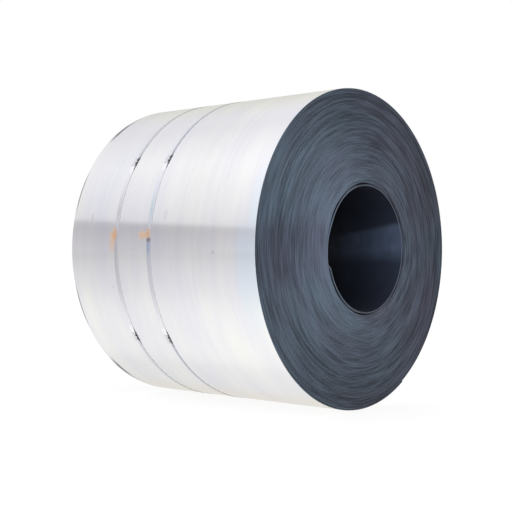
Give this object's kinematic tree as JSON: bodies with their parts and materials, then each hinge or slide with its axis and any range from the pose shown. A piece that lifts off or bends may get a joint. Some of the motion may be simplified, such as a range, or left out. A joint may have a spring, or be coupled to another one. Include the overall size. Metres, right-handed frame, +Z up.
{
  "type": "hot rolled steel coil",
  "caption": "Heavy coil of hot rolled steel strip lying on its side, with an open bore, a loose innermost turn, slightly telescoped ends and steel straps locked with crimped seals.",
  "frame": {"origin": "on the floor under the middle of the coil, below its axis", "axes": "+X along the coil's axis towards the end that the picture shows, +Z up; the seals are on the -Y side"},
  "size_m": [1.5948, 1.9408, 1.9448],
  "materials": {
    "rolled_steel": "hot rolled, bright outside with dull blue-grey edges",
    "strapping": "blued steel strapping",
    "seals": "plain steel, crimped"
  },
  "bodies": {
    "root": {"coil": "rolled_steel", "strap_near_long": "strapping", "strap_near_short": "strapping", "strap_far_long": "strapping", "strap_far_short": "strapping", "seal_near_upper": "seals", "seal_near_lower": "seals", "seal_far_upper": "seals", "seal_far_lower": "seals"}
  },
  "joints": []
}
